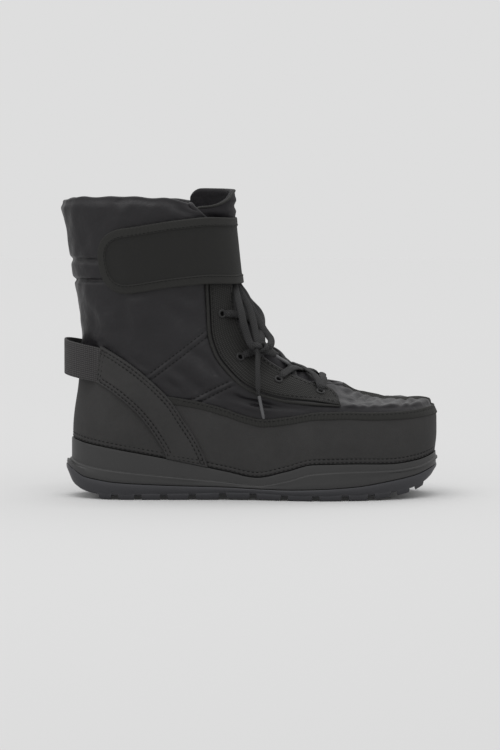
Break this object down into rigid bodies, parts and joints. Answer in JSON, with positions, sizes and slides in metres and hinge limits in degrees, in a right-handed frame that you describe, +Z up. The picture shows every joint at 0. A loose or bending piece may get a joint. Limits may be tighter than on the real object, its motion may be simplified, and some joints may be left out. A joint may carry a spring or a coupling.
{
  "type": "fur-lined winter boot",
  "caption": "Ankle-high padded nylon winter boot with front lacing over a tongue, a broad ankle strap, a coated rand, a heel pull loop and a cupped lugged rubber sole; right foot.",
  "frame": {"origin": "on the floor, in the middle of the boot's length and width", "axes": "+X to the toe, +Y to the inner side of the foot, +Z up"},
  "size_m": [0.3044, 0.1092, 0.2482],
  "materials": {
    "tread_rubber": "satin black moulded rubber",
    "sidewall_rubber": "matte black moulded rubber with a fine grain",
    "insole_felt": "short dark pile",
    "padded_nylon": "satin black padded nylon",
    "coated_suede": "matte black coated split leather, lightly grained",
    "grid_webbing": "matte black coarse grid weave",
    "piping": "matte black corded piping",
    "strap_webbing": "matte black woven strap with ribbed binding",
    "eyelet_enamel": "black enamelled ring",
    "lace_cord": "black braided oval cord",
    "aglet_plastic": "pale grey film tip"
  },
  "bodies": {
    "root": {"outsole": "tread_rubber", "midsole": "sidewall_rubber", "insole": "insole_felt", "upper": "padded_nylon", "tongue": "padded_nylon", "rand": "coated_suede", "heel_counter": "coated_suede", "heel_stay_outer": "coated_suede", "heel_stay_inner": "coated_suede", "eyestay_outer": "grid_webbing", "eyestay_inner": "grid_webbing", "piping_outer": "piping", "piping_inner": "piping", "ankle_strap": "strap_webbing", "pull_loop": "grid_webbing", "eyelet_outer_1": "eyelet_enamel", "eyelet_outer_2": "eyelet_enamel", "eyelet_outer_3": "eyelet_enamel", "eyelet_outer_4": "eyelet_enamel", "eyelet_inner_1": "eyelet_enamel", "eyelet_inner_2": "eyelet_enamel", "eyelet_inner_3": "eyelet_enamel", "eyelet_inner_4": "eyelet_enamel", "lace_crossings": "lace_cord", "lace_knot": "lace_cord", "lace_loop_outer": "lace_cord", "lace_loop_inner": "lace_cord", "lace_end_outer": "lace_cord", "lace_end_inner": "lace_cord", "aglet_outer": "aglet_plastic", "aglet_inner": "aglet_plastic"}
  },
  "joints": []
}
